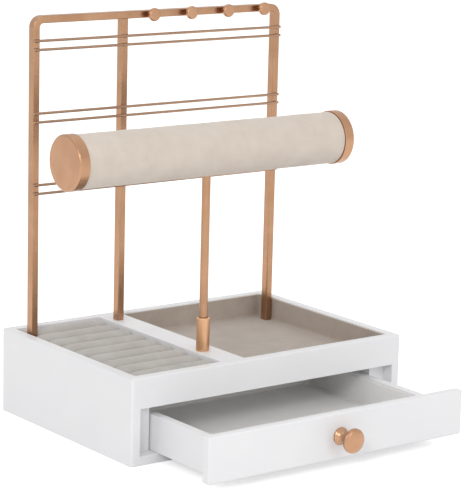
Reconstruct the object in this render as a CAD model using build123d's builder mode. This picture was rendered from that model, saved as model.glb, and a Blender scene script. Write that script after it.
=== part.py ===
from build123d import *
import math
import os

# Jewelry stand with drawer, in millimetres, +Z up.
# The origin is at the middle of the box's footprint, on the table. The drawer opens towards -Y.
# A white lacquered box holds a ring tray, an open tray and a drawer. A metal hanging frame with
# cross wires stands in the trays, and a round bar post carries a padded bracelet roll.
# The drawer is drawn pulled out by drawer_opening, the position in which the stand is shown.

# ---------------------------------------------------------------- box
box_width = 290
box_depth = 204
box_height = 75
board = 9              # side, back and front rail boards
base_board = 8
deck_board = 4         # floor board of the two trays, roof of the drawer bay
rail_height = 26.6     # front wall of the trays
divider_width = 24.5
divider_x = -35.8      # middle of the divider between the trays
upright_round = 2.5    # upright outer corners of the box
edge_round = 1.0       # lacquered top edges
rim_round = 0.5        # lacquered inner rim edges

# ---------------------------------------------------------------- drawer bay
recess = 11.5          # depth from the box front to the stiles
stile_width = 16.5
stile_board = 9
guide_board = 5

# ---------------------------------------------------------------- drawer
front_board = 8
front_round = 1.5      # lacquered edges of the drawer front
front_end_gap = 0.8    # between the front and the side panels
front_top_gap = 0.6
slide_gap = 0.3        # drawer above the base panel
seat_gap = 0.3         # closed front to the stiles
drawer_opening = 97
drawer_side_board = 8
drawer_side_height = 31
drawer_side_gap = 1.3  # drawer side to its guide
drawer_length = 178    # body behind the front
bottom_rise = 2
bottom_board = 3
liner_sheet = 1.2
liner_drop = 2         # liner rim below the side's top edge

# ---------------------------------------------------------------- knob
knob_head_diameter = 21
knob_flange_diameter = 15
knob_neck_diameter = 7.6
knob_length = 20
knob_flange_thickness = 2.4
knob_head_thickness = 4.8
knob_dome = 1.6        # crown of the knob's face
knob_neck_start = 0.28 # share of the knob's length at which the flange has thinned to the neck
knob_neck_end = 0.52   # share at which the neck flares out to the head
knob_screw_diameter = 4
knob_screw_depth = 9   # thread in the knob
knob_screw_head_diameter = 7.2
countersink_angle = 82

# ---------------------------------------------------------------- trays
lining = 1.5           # velvet sheet of the open tray
lining_drop = 1.2      # its rim below the box rim
roll_count = 9
roll_rise = 0.5        # roll tops above the box rim
roll_end_round = 6     # the rolls' ends are drawn in by this radius
soft_gap = 0.3         # soft pieces to their neighbours

# ---------------------------------------------------------------- hanging frame
bar_width = 6.5        # rectangular bar, seen from the front
bar_depth = 8          # and from the side
bar_edge = 0.7
frame_top = 354
frame_bend = 7         # bend radius on the middle of the bar
leg_x = 130.4
frame_y = 75
post_x = -39           # middle post and bar post, on the divider
wire_diameter = 2.4
wire_pair_pitch = 7.7  # between the two wires of a pair
wire_top_drop = 21.3   # from the top of the frame to the first wire
wire_tier_pitch = 62.75
wire_weld = 0.15       # wires pressed into the posts by the welds
peg_count = 4
peg_first_x = -12.3
peg_pitch = 40.9
peg_head_diameter = 11.8
peg_head_thickness = 3.4
peg_head_round = 1.2
peg_stem_diameter = 4
peg_stem_length = 4.5

# ---------------------------------------------------------------- bracelet bar
bar_y = -54
bar_height = 250       # middle of the roll
bar_post_diameter = 7.3
ferrule_diameter = 11.6
ferrule_height = 29.5
ferrule_chamfer = 0.9
roll_length = 286      # with its end caps
roll_diameter = 45.6   # velvet
cap_diameter = 47
cap_thickness = 10
cap_lip = 8            # hidden spigot of a cap in the core tube
cap_edge = 1.2
core_diameter = 38
core_wall = 2

# ---------------------------------------------------------------- fixing screws
screw_diameter = 3
screw_head_diameter = 5.6
screw_head_height = 1.6
screw_grip = 12        # thread in a metal post

touch = 0.01           # how near an edge lies to the place where it is looked for

# ---------------------------------------------------------------- derived places
half_width = box_width / 2
half_depth = box_depth / 2
inner_x = half_width - board
inner_y = half_depth - board
bay_top = box_height - rail_height
deck_top = bay_top + deck_board
divider_left = divider_x - divider_width / 2
divider_right = divider_x + divider_width / 2
stile_y = -half_depth + recess
guide_x = inner_x - stile_width
drawer_floor = base_board + slide_gap
front_height = bay_top - front_top_gap - drawer_floor
front_rear_y = stile_y - seat_gap - drawer_opening
front_face_y = front_rear_y - front_board
drawer_rear_y = front_rear_y + drawer_length
side_outer_x = guide_x - drawer_side_gap
side_inner_x = side_outer_x - drawer_side_board
drawer_bottom_z = drawer_floor + bottom_rise
liner_floor_z = drawer_bottom_z + bottom_board
liner_top_z = drawer_floor + drawer_side_height - liner_drop
knob_z = drawer_floor + front_height / 2
bar_half = bar_width / 2
bar_face_y = frame_y - bar_depth / 2
wire_y = bar_face_y - wire_diameter / 2 + wire_weld
roll_radius = roll_diameter / 2
core_length = roll_length - 2 * cap_thickness

os.makedirs("parts", exist_ok=True)


def save(builder, name):
    """Label a finished sub-part and write it under the same name."""
    builder.part.label = name
    export_step(builder.part, f"parts/{name}.step")


def slab(x0, x1, y0, y1, z0, z1):
    """Add a board between two opposite corners."""
    with Locations(((x0 + x1) / 2, (y0 + y1) / 2, (z0 + z1) / 2)):
        return Box(x1 - x0, y1 - y0, z1 - z0)


def top_edges(builder):
    """Edges round the top face of a board."""
    return builder.faces().sort_by(Axis.Z)[-1].edges()


def edges_along(builder, run, side, place):
    """Edges that run along one axis at a place on another axis, lowest first."""
    found = builder.edges().filter_by(run).filter_by_position(side, place - touch, place + touch)
    return found.sort_by(Axis.Z)


# ================================================================ box
for side, name in ((-1, "left_side_panel"), (1, "right_side_panel")):
    outer = side * half_width
    with BuildPart() as side_panel:
        slab(min(outer, side * inner_x), max(outer, side * inner_x), -half_depth, half_depth,
             0, box_height)
        fillet(edges_along(side_panel, Axis.Z, Axis.X, outer), radius=upright_round)
        rim = top_edges(side_panel)
        inner_rim = rim.filter_by(Axis.Y).sort_by(Axis.X)[-1 if side < 0 else 0]
        fillet(rim - ShapeList([inner_rim]), radius=edge_round)
        fillet(edges_along(side_panel, Axis.Y, Axis.X, side * inner_x)[-1], radius=rim_round)
    save(side_panel, name)

with BuildPart() as back_panel:
    slab(-inner_x, inner_x, inner_y, half_depth, 0, box_height)
    fillet(edges_along(back_panel, Axis.X, Axis.Y, half_depth)[-1], radius=edge_round)
    fillet(edges_along(back_panel, Axis.X, Axis.Y, inner_y)[-1], radius=rim_round)
save(back_panel, "back_panel")

with BuildPart() as front_rail:
    slab(-inner_x, inner_x, -half_depth, -inner_y, bay_top, box_height)
    fillet(edges_along(front_rail, Axis.X, Axis.Y, -half_depth)[-1], radius=edge_round)
    inner_rim = edges_along(front_rail, Axis.X, Axis.Y, -inner_y)[-1]
    lower_edge = edges_along(front_rail, Axis.X, Axis.Y, -half_depth)[0]
    fillet([inner_rim, lower_edge], radius=rim_round)
save(front_rail, "front_rail")

with BuildPart() as base_panel:
    slab(-inner_x, inner_x, -half_depth, inner_y, 0, base_board)
    front_top = top_edges(base_panel).filter_by(Axis.X).sort_by(Axis.Y)[0]
    fillet(front_top, radius=rim_round)
save(base_panel, "base_panel")

# Screws come up through the deck: one in each leg, one in each post on the divider.
leg_spots = [(-leg_x, frame_y), (leg_x, frame_y)]
post_spots = [(post_x, frame_y), (post_x, bar_y)]

with BuildPart() as deck_panel:
    slab(-inner_x, inner_x, -inner_y, inner_y, bay_top, deck_top)
    with BuildSketch(Plane.XY.offset(bay_top)):
        with Locations(*leg_spots, *post_spots):
            Circle(screw_diameter / 2)
    extrude(amount=deck_board, mode=Mode.SUBTRACT)
save(deck_panel, "deck_panel")

with BuildPart() as tray_divider:
    slab(divider_left, divider_right, -inner_y, inner_y, deck_top, box_height)
    fillet(top_edges(tray_divider).filter_by(Axis.Y), radius=rim_round)
    with BuildSketch(Plane.XY.offset(deck_top)):
        with Locations(*post_spots):
            Circle(screw_diameter / 2)
    extrude(amount=box_height - deck_top, mode=Mode.SUBTRACT)
save(tray_divider, "tray_divider")

for side, word in ((-1, "left"), (1, "right")):
    with BuildPart() as stile:
        slab(min(side * guide_x, side * inner_x), max(side * guide_x, side * inner_x),
             stile_y, stile_y + stile_board, base_board, bay_top)
    save(stile, f"{word}_bay_stile")
    rail_x = side * (guide_x + guide_board)
    with BuildPart() as guide:
        slab(min(side * guide_x, rail_x), max(side * guide_x, rail_x),
             stile_y + stile_board, inner_y, base_board, bay_top)
    save(guide, f"{word}_drawer_guide")

# ================================================================ ring tray
roll_pitch = 2 * inner_y / roll_count
ring_roll_radius = (roll_pitch - soft_gap) / 2
roll_x0 = -inner_x + soft_gap
roll_x1 = divider_left - soft_gap
roll_span = roll_x1 - roll_x0
roll_top = box_height + roll_rise
roll_centre_z = roll_top - ring_roll_radius
leg_slot_width = bar_width + 2 * soft_gap
leg_slot_depth = bar_depth + 2 * soft_gap

for number in range(roll_count):
    centre_y = inner_y - roll_pitch * (number + 0.5)
    with BuildPart() as ring_roll:
        with BuildSketch(Plane.YZ.offset(roll_x0)):
            with Locations((centre_y, roll_centre_z)):
                Circle(ring_roll_radius)
            with Locations((centre_y, (roll_centre_z + deck_top) / 2)):
                Rectangle(2 * ring_roll_radius, roll_centre_z - deck_top)
            with Locations((centre_y, deck_top - ring_roll_radius)):
                Rectangle(2 * roll_pitch, 2 * ring_roll_radius, mode=Mode.SUBTRACT)
        extrude(amount=roll_span)
        end_edges = ring_roll.faces().filter_by(Axis.X).edges()
        fillet(end_edges - end_edges.group_by(Axis.Z)[0], radius=roll_end_round)
        if abs(centre_y - frame_y) < (roll_pitch + leg_slot_depth) / 2:
            with BuildSketch(Plane.XY.offset(deck_top)):
                with Locations((-leg_x, frame_y)):
                    Rectangle(leg_slot_width, leg_slot_depth)
            extrude(amount=box_height, mode=Mode.SUBTRACT)
    save(ring_roll, f"ring_roll_{number + 1}")

# ================================================================ open tray
with BuildPart() as tray_lining:
    lining_top = box_height - lining_drop
    slab(divider_right, inner_x, -inner_y, inner_y, deck_top, lining_top)
    with BuildSketch(Plane.XY.offset(deck_top + lining)):
        with Locations(((divider_right + inner_x) / 2, 0)):
            Rectangle(inner_x - divider_right - 2 * lining, 2 * inner_y - 2 * lining)
    extrude(amount=box_height, mode=Mode.SUBTRACT)
    with BuildSketch(Plane.XY.offset(deck_top)):
        with Locations((leg_x, frame_y)):
            Rectangle(leg_slot_width, leg_slot_depth)
    extrude(amount=lining, mode=Mode.SUBTRACT)
save(tray_lining, "tray_lining")

# ================================================================ hanging frame
with BuildPart() as frame_hoop:
    with BuildLine() as hoop_path:
        FilletPolyline(
            (-leg_x, frame_y, deck_top),
            (-leg_x, frame_y, frame_top - bar_half),
            (leg_x, frame_y, frame_top - bar_half),
            (leg_x, frame_y, deck_top),
            radius=frame_bend)
    with BuildSketch(Plane.XY.offset(deck_top)):
        with Locations((-leg_x, frame_y)):
            RectangleRounded(bar_width, bar_depth, bar_edge)
    sweep(path=hoop_path.line)
    with BuildSketch(Plane.XY.offset(deck_top)):
        with Locations(*leg_spots):
            Circle(screw_diameter / 2)
    extrude(amount=screw_grip, mode=Mode.SUBTRACT)
save(frame_hoop, "frame_hoop")

with BuildPart() as middle_post:
    with BuildSketch(Plane.XY.offset(box_height)):
        with Locations((post_x, frame_y)):
            RectangleRounded(bar_width, bar_depth, bar_edge)
    extrude(amount=frame_top - bar_width - box_height)
    with BuildSketch(Plane.XY.offset(box_height)):
        with Locations((post_x, frame_y)):
            Circle(screw_diameter / 2)
    extrude(amount=screw_grip, mode=Mode.SUBTRACT)
save(middle_post, "middle_post")

wire_half = leg_x + bar_half
for tier, pair in enumerate(("top", "middle", "bottom")):
    level = frame_top - wire_top_drop - tier * wire_tier_pitch
    for place, height in (("upper", level), ("lower", level - wire_pair_pitch)):
        with BuildPart() as wire:
            with BuildSketch(Plane.YZ.offset(-wire_half)):
                with Locations((wire_y, height)):
                    Circle(wire_diameter / 2)
            extrude(amount=2 * wire_half)
            # the weld flattens the wire where it crosses a post
            with BuildSketch(Plane.YZ.offset(-wire_half)):
                with Locations((frame_y, height)):
                    Rectangle(bar_depth, wire_diameter)
            extrude(amount=2 * wire_half, mode=Mode.SUBTRACT)
        save(wire, f"{pair}_pair_{place}_wire")

for number in range(peg_count):
    peg_x = peg_first_x + number * peg_pitch
    with BuildPart() as peg:
        with BuildSketch(Plane.XZ.offset(-bar_face_y)):
            with Locations((peg_x, frame_top - bar_half)):
                Circle(peg_stem_diameter / 2)
        extrude(amount=peg_stem_length)
        with BuildSketch(Plane.XZ.offset(-bar_face_y + peg_stem_length)):
            with Locations((peg_x, frame_top - bar_half)):
                Circle(peg_head_diameter / 2)
        extrude(amount=peg_head_thickness)
        fillet(peg.faces().sort_by(Axis.Y)[0].edges(), radius=peg_head_round)
    save(peg, f"necklace_peg_{number + 1}")

# ================================================================ bracelet bar
with BuildPart() as post_ferrule:
    with BuildSketch(Plane.XY.offset(box_height)):
        with Locations((post_x, bar_y)):
            Circle(ferrule_diameter / 2)
            Circle(bar_post_diameter / 2, mode=Mode.SUBTRACT)
    extrude(amount=ferrule_height)
    outer_top = post_ferrule.edges().filter_by(GeomType.CIRCLE).group_by(Axis.Z)[-1].sort_by(
        SortBy.RADIUS)[-1]
    chamfer(outer_top, length=ferrule_chamfer)
save(post_ferrule, "post_ferrule")

with BuildPart() as bar_post:
    with BuildSketch(Plane.XY.offset(box_height)):
        with Locations((post_x, bar_y)):
            Circle(bar_post_diameter / 2)
    extrude(amount=bar_height - core_diameter / 2 + core_wall / 2 - box_height)
    with BuildSketch(Plane.XY.offset(box_height)):
        with Locations((post_x, bar_y)):
            Circle(screw_diameter / 2)
    extrude(amount=screw_grip, mode=Mode.SUBTRACT)
save(bar_post, "bar_post")

core_x0 = post_x - core_length / 2
with BuildPart() as bar_core:
    with BuildSketch(Plane.YZ.offset(core_x0)):
        with Locations((bar_y, bar_height)):
            Circle(core_diameter / 2)
            Circle(core_diameter / 2 - core_wall, mode=Mode.SUBTRACT)
    extrude(amount=core_length)
    with BuildSketch(Plane.XY.offset(bar_height - core_diameter)):
        with Locations((post_x, bar_y)):
            Circle(bar_post_diameter / 2)
    extrude(amount=core_diameter / 2 + core_wall / 2, mode=Mode.SUBTRACT)
save(bar_core, "bar_core_tube")

with BuildPart() as bar_cover:
    with BuildSketch(Plane.YZ.offset(core_x0)):
        with Locations((bar_y, bar_height)):
            Circle(roll_radius)
            Circle(core_diameter / 2, mode=Mode.SUBTRACT)
    extrude(amount=core_length)
    with BuildSketch(Plane.XY.offset(bar_height - roll_diameter)):
        with Locations((post_x, bar_y)):
            Circle(bar_post_diameter / 2)
    extrude(amount=roll_diameter, mode=Mode.SUBTRACT)
save(bar_cover, "bar_velvet_cover")

for side, name in ((-1, "left_end_cap"), (1, "right_end_cap")):
    seat_x = post_x + side * core_length / 2
    outward = Plane(origin=(seat_x, bar_y, bar_height), x_dir=(0, side, 0), z_dir=(side, 0, 0))
    with BuildPart() as end_cap:
        with BuildSketch(outward):
            Circle(cap_diameter / 2)
        extrude(amount=cap_thickness)
        outer_face = end_cap.faces().filter_by(GeomType.PLANE).sort_by(Axis.X)[-1 if side > 0 else 0]
        chamfer(outer_face.edges(), length=cap_edge)
        with BuildSketch(outward):
            Circle(core_diameter / 2 - core_wall)
        extrude(amount=-cap_lip)
    save(end_cap, name)

# ================================================================ fixing screws
head_z = bay_top - screw_head_height
for name, spot, thread_start in (
        ("left_leg_screw", leg_spots[0], deck_top),
        ("right_leg_screw", leg_spots[1], deck_top),
        ("middle_post_screw", post_spots[0], box_height),
        ("bar_post_screw", post_spots[1], box_height)):
    with BuildPart() as screw:
        with BuildSketch(Plane.XY.offset(head_z)):
            with Locations(spot):
                Circle(screw_head_diameter / 2)
        extrude(amount=screw_head_height)
        with BuildSketch(Plane.XY.offset(bay_top)):
            with Locations(spot):
                Circle(screw_diameter / 2)
        extrude(amount=thread_start + screw_grip - bay_top)
    save(screw, name)

# ================================================================ drawer
front_half = inner_x - front_end_gap
with BuildPart() as drawer_front:
    slab(-front_half, front_half, front_face_y, front_rear_y, drawer_floor,
         drawer_floor + front_height)
    face_edges = drawer_front.faces().sort_by(Axis.Y)[0].edges()
    fillet(face_edges + drawer_front.edges().filter_by(Axis.Y), radius=front_round)
    with Locations(Plane(origin=(0, front_rear_y, knob_z), x_dir=(-1, 0, 0), z_dir=(0, 1, 0))):
        CounterSinkHole(radius=knob_screw_diameter / 2,
                        counter_sink_radius=knob_screw_head_diameter / 2, depth=front_board,
                        counter_sink_angle=countersink_angle)
save(drawer_front, "drawer_front")

for side, word in ((-1, "left"), (1, "right")):
    with BuildPart() as drawer_side:
        slab(min(side * side_outer_x, side * side_inner_x), max(side * side_outer_x, side * side_inner_x),
             front_rear_y, drawer_rear_y, drawer_floor, drawer_floor + drawer_side_height)
        fillet(top_edges(drawer_side).filter_by(Axis.Y), radius=rim_round)
    save(drawer_side, f"drawer_{word}_side")

with BuildPart() as drawer_back:
    slab(-side_inner_x, side_inner_x, drawer_rear_y - drawer_side_board, drawer_rear_y,
         drawer_floor, drawer_floor + drawer_side_height)
    fillet(top_edges(drawer_back).filter_by(Axis.X), radius=rim_round)
save(drawer_back, "drawer_back")

liner_rear_y = drawer_rear_y - drawer_side_board
with BuildPart() as drawer_bottom:
    slab(-side_inner_x, side_inner_x, front_rear_y, liner_rear_y, drawer_bottom_z, liner_floor_z)
save(drawer_bottom, "drawer_bottom")

with BuildPart() as drawer_liner:
    slab(-side_inner_x, side_inner_x, front_rear_y, liner_rear_y, liner_floor_z, liner_top_z)
    with BuildSketch(Plane.XY.offset(liner_floor_z + liner_sheet)):
        with Locations((0, (front_rear_y + liner_rear_y) / 2)):
            Rectangle(2 * (side_inner_x - liner_sheet), liner_rear_y - front_rear_y - 2 * liner_sheet)
    extrude(amount=drawer_side_height, mode=Mode.SUBTRACT)
save(drawer_liner, "drawer_liner")

# ---------------------------------------------------------------- knob, turned about its own axis
flange_radius = knob_flange_diameter / 2
neck_radius = knob_neck_diameter / 2
head_radius = knob_head_diameter / 2
neck_start = knob_length * knob_neck_start
neck_end = knob_length * knob_neck_end
head_rear = knob_length - knob_head_thickness
rim_end = knob_length - knob_dome
crown_radius = head_radius - rim_round
crown_sphere = (crown_radius ** 2 + knob_dome ** 2) / (2 * knob_dome)
crown_angle = math.asin(crown_radius / crown_sphere)
with BuildPart() as drawer_knob:
    # profile: radius along X, distance out of the drawer front along -Y
    with BuildSketch(Plane(origin=(0, front_face_y, knob_z), x_dir=(1, 0, 0), z_dir=(0, 0, 1))):
        with BuildLine():
            Polyline((0, -knob_screw_depth), (knob_screw_diameter / 2, -knob_screw_depth),
                     (knob_screw_diameter / 2, 0), (flange_radius, 0),
                     (flange_radius, -knob_flange_thickness / 2))
            ThreePointArc((flange_radius, -knob_flange_thickness / 2),
                          ((flange_radius + 2 * neck_radius) / 3, -neck_start / 2),
                          (neck_radius, -neck_start))
            Line((neck_radius, -neck_start), (neck_radius, -neck_end))
            ThreePointArc((neck_radius, -neck_end),
                          ((head_radius + 3 * neck_radius) / 4, -(neck_end + 3 * head_rear) / 4),
                          (head_radius - rim_round, -head_rear))
            ThreePointArc((head_radius - rim_round, -head_rear),
                          (head_radius, -(head_rear + rim_end) / 2),
                          (crown_radius, -rim_end))
            ThreePointArc((crown_radius, -rim_end),
                          (crown_sphere * math.sin(crown_angle / 2),
                           -knob_length + crown_sphere * (1 - math.cos(crown_angle / 2))),
                          (0, -knob_length))
            Line((0, -knob_length), (0, -knob_screw_depth))
        make_face()
    revolve(axis=Axis((0, front_face_y, knob_z), (0, 1, 0)))
save(drawer_knob, "drawer_knob")

# countersunk head, flush with the rear of the drawer front
half_sink = math.radians(countersink_angle / 2)
sink_depth = (knob_screw_head_diameter - knob_screw_diameter) / 2 / math.tan(half_sink)
with BuildPart() as knob_screw:
    screw_plane = Plane(origin=(0, front_rear_y, knob_z), x_dir=(1, 0, 0), z_dir=(0, -1, 0))
    with BuildSketch(screw_plane):
        Circle(knob_screw_diameter / 2)
    extrude(amount=front_board + knob_screw_depth)
    with BuildSketch(screw_plane):
        Circle(knob_screw_head_diameter / 2)
    with BuildSketch(screw_plane.offset(sink_depth)):
        Circle(knob_screw_diameter / 2)
    loft()
save(knob_screw, "knob_screw")
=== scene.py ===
"""The looks of a jewelry stand with a drawer: its pieces, finishes, light and camera.

A white lacquered box holds a ring tray, an open tray and a drawer. A rose gold frame with
hanging wires and pegs stands in the trays, and a post carries a velvet bracelet roll.
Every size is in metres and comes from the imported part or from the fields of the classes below.
"""

import logging
import math
from dataclasses import dataclass
from enum import Enum
from typing import Callable, Iterable, Optional, Sequence

import bmesh
import bpy
from mathutils import Matrix, Vector, noise


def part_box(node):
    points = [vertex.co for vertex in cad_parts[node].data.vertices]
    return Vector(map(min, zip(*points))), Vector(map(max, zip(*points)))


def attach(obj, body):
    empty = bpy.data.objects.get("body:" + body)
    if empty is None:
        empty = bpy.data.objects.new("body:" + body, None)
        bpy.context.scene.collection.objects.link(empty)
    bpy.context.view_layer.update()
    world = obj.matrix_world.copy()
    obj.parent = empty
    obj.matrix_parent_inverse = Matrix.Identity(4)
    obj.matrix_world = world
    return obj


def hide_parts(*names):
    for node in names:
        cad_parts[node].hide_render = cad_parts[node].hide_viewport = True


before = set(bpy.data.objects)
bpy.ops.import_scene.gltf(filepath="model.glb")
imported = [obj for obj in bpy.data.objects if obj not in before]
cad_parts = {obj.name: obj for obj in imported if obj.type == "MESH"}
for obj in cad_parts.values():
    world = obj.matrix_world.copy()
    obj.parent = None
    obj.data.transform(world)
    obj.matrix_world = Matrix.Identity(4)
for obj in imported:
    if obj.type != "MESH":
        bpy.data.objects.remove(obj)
LOG = logging.getLogger("jewelry_stand")
MM = 0.001
WELD_DISTANCE = 0.002 * MM
RING_TOLERANCE = 0.02 * MM
# A point within this distance of a face or level of the part counts as lying on it.
NEAR = 0.1 * MM
# Shares of a direction along an axis: above the first it runs along it, below the second across it.
ALONG = 0.9
ACROSS = 0.1
LEAST_FOLD = math.radians(12)


class Body(Enum):
    """The two bodies that move against each other."""

    STAND = "stand"
    DRAWER = "drawer"


class Slot(Enum):
    """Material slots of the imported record."""

    LACQUER = "white_lacquer"
    METAL = "rose_gold_metal"
    ROLL_VELVET = "roll_velvet"
    RING_VELVET = "ring_velvet"
    TRAY_VELVET = "tray_velvet"
    DRAWER_VELVET = "drawer_velvet"
    CARD = "core_card"
    ZINC = "zinc_screw"


class Brush(Enum):
    """Direction in which a metal piece was polished, as a stretch of its grain."""

    ALONG_X = (0.04, 1.0, 1.0)
    ALONG_Z = (1.0, 1.0, 0.04)
    FINE = (1.0, 1.0, 1.0)


# ------------------------------------------------------------------ shader helpers
class NodeSketch:
    """A short way to write a node material on Object coordinates."""

    def __init__(self, name: str) -> None:
        """Start a material with a Principled shader.

        Args:
            name: Name of the material.
        """
        self.material = bpy.data.materials.new(name)
        self.material.use_nodes = True
        self.tree = self.material.node_tree
        self.shader = self.tree.nodes["Principled BSDF"]
        self.place = self.tree.nodes.new("ShaderNodeTexCoord").outputs["Object"]

    def link(self, source: bpy.types.NodeSocket, target: bpy.types.NodeSocket) -> None:
        """Join two sockets."""
        self.tree.links.new(source, target)

    def stretched(self, scale: Sequence[float]) -> bpy.types.NodeSocket:
        """Object coordinates stretched along the axes.

        Args:
            scale: Factor along X, Y and Z.

        Returns:
            The socket with the stretched coordinates.
        """
        mapping = self.tree.nodes.new("ShaderNodeMapping")
        mapping.inputs["Scale"].default_value = scale
        self.link(self.place, mapping.inputs["Vector"])
        return mapping.outputs["Vector"]

    def grain(self, scale: float, detail: float = 3.0, rough: float = 0.55,
              place: Optional[bpy.types.NodeSocket] = None) -> bpy.types.NodeSocket:
        """Noise between 0 and 1.

        Args:
            scale: Waves per metre.
            detail: Octaves of the noise.
            rough: Strength of the finer octaves.
            place: Coordinates, or the plain Object ones.

        Returns:
            The noise value's socket.
        """
        node = self.tree.nodes.new("ShaderNodeTexNoise")
        node.inputs["Scale"].default_value = scale
        node.inputs["Detail"].default_value = detail
        node.inputs["Roughness"].default_value = rough
        self.link(place or self.place, node.inputs["Vector"])
        return node.outputs["Fac"]

    def spread(self, value: bpy.types.NodeSocket, low: float, high: float,
               start: float = 0.3, end: float = 0.7) -> bpy.types.NodeSocket:
        """Map a noise value onto a range.

        Args:
            value: Socket with the noise.
            low: Result at and below start.
            high: Result at and above end.
            start: Noise value that gives low.
            end: Noise value that gives high.

        Returns:
            The mapped value's socket.
        """
        node = self.tree.nodes.new("ShaderNodeMapRange")
        for name, number in (("From Min", start), ("From Max", end), ("To Min", low), ("To Max", high)):
            node.inputs[name].default_value = number
        self.link(value, node.inputs["Value"])
        return node.outputs["Result"]

    def blended(self, share: bpy.types.NodeSocket, first: Sequence[float],
                second: Sequence[float] | bpy.types.NodeSocket) -> bpy.types.NodeSocket:
        """Mix two colours.

        Args:
            share: How much of the second colour shows.
            first: First colour, linear RGB, or a colour socket.
            second: Second colour, linear RGB, or a colour socket.

        Returns:
            The mixed colour's socket.
        """
        node = self.tree.nodes.new("ShaderNodeMix")
        node.data_type = "RGBA"
        self.link(share, node.inputs["Factor"])
        for socket, colour in ((node.inputs["A"], first), (node.inputs["B"], second)):
            if isinstance(colour, bpy.types.NodeSocket):
                self.link(colour, socket)
            else:
                socket.default_value = (*colour, 1.0)
        return node.outputs["Result"]

    def relief(self, value: bpy.types.NodeSocket, strength: float, depth: float,
               under: Optional[bpy.types.NodeSocket] = None) -> bpy.types.NodeSocket:
        """Turn a height into a bump.

        Args:
            value: Height between 0 and 1.
            strength: Strength of the bump.
            depth: Height of the relief in metres.
            under: Normal of a coarser bump below this one.

        Returns:
            The bumped normal's socket.
        """
        node = self.tree.nodes.new("ShaderNodeBump")
        node.inputs["Strength"].default_value = strength
        node.inputs["Distance"].default_value = depth
        self.link(value, node.inputs["Height"])
        if under is not None:
            self.link(under, node.inputs["Normal"])
        return node.outputs["Normal"]


@dataclass(frozen=True)
class LacquerFinish:
    """Sprayed satin lacquer: a faint orange peel and a little unevenness in gloss and tone."""

    name: str
    tone: tuple[float, float, float]
    worn_tone: tuple[float, float, float]
    peel: float = 420.0
    fine_peel: float = 1344.0
    cloud: float = 14.0
    smudge: float = 60.0
    gloss: tuple[float, float] = (0.34, 0.46)
    shine: float = 0.4

    def make(self) -> bpy.types.Material:
        """Build the material."""
        sketch = NodeSketch(self.name)
        shader = sketch.shader
        cloud = sketch.grain(self.cloud, detail=2.0)
        sketch.link(sketch.blended(sketch.spread(cloud, 0.0, 1.0), self.tone, self.worn_tone),
                    shader.inputs["Base Color"])
        sketch.link(sketch.spread(sketch.grain(self.smudge, detail=4.0), *self.gloss),
                    shader.inputs["Roughness"])
        coarse = sketch.relief(sketch.grain(self.peel, detail=2.0), strength=0.10, depth=0.12 * MM)
        fine = sketch.relief(sketch.grain(self.fine_peel, detail=2.0), strength=0.06, depth=0.05 * MM,
                             under=coarse)
        sketch.link(fine, shader.inputs["Normal"])
        shader.inputs["Specular IOR Level"].default_value = self.shine
        return sketch.material


@dataclass(frozen=True)
class BrushedFinish:
    """Satin rose gold plating with fine polishing lines and softly varying tone."""

    name: str
    tone: tuple[float, float, float]
    deep_tone: tuple[float, float, float]
    brush: Brush
    gloss: tuple[float, float] = (0.30, 0.44)
    line_pitch: float = 2600.0
    line_depth: float = 0.02 * MM
    line_strength: float = 0.22
    cloud: float = 45.0
    cloud_share: float = 0.7
    line_share: float = 0.22

    def make(self) -> bpy.types.Material:
        """Build the material."""
        sketch = NodeSketch(self.name)
        shader = sketch.shader
        lines = sketch.grain(self.line_pitch, rough=0.6, place=sketch.stretched(self.brush.value))
        cloud = sketch.grain(self.cloud)
        tone = sketch.blended(sketch.spread(cloud, 0.0, self.cloud_share), self.tone, self.deep_tone)
        tone = sketch.blended(sketch.spread(lines, 0.0, self.line_share), tone, self.deep_tone)
        sketch.link(tone, shader.inputs["Base Color"])
        sketch.link(sketch.spread(lines, *self.gloss), shader.inputs["Roughness"])
        sketch.link(sketch.relief(lines, self.line_strength, self.line_depth), shader.inputs["Normal"])
        shader.inputs["Metallic"].default_value = 1.0
        return sketch.material


@dataclass(frozen=True)
class VelvetFinish:
    """Short-pile velvet: brushed patches of nap, a fine fibre relief and a soft sheen."""

    name: str
    tone: tuple[float, float, float]
    shaded_tone: tuple[float, float, float]
    nap: float = 55.0
    nap_share: float = 0.55
    fibre: float = 2300.0
    fibre_share: float = 0.38
    roughness: float = 0.95
    shine: float = 0.15
    sheen: float = 0.35
    sheen_roughness: float = 0.45

    def make(self) -> bpy.types.Material:
        """Build the material."""
        sketch = NodeSketch(self.name)
        shader = sketch.shader
        patches = sketch.grain(self.nap, detail=4.0, rough=0.6)
        fibres = sketch.grain(self.fibre, detail=2.0, rough=0.7)
        tone = sketch.blended(sketch.spread(patches, 0.0, self.nap_share), self.tone, self.shaded_tone)
        tone = sketch.blended(sketch.spread(fibres, 0.0, self.fibre_share), tone, self.shaded_tone)
        sketch.link(tone, shader.inputs["Base Color"])
        coarse = sketch.relief(patches, strength=0.25, depth=0.25 * MM)
        fine = sketch.relief(fibres, strength=0.45, depth=0.16 * MM, under=coarse)
        sketch.link(fine, shader.inputs["Normal"])
        for socket, number in (("Roughness", self.roughness), ("Specular IOR Level", self.shine),
                               ("Sheen Weight", self.sheen), ("Sheen Roughness", self.sheen_roughness)):
            shader.inputs[socket].default_value = number
        return sketch.material


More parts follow.
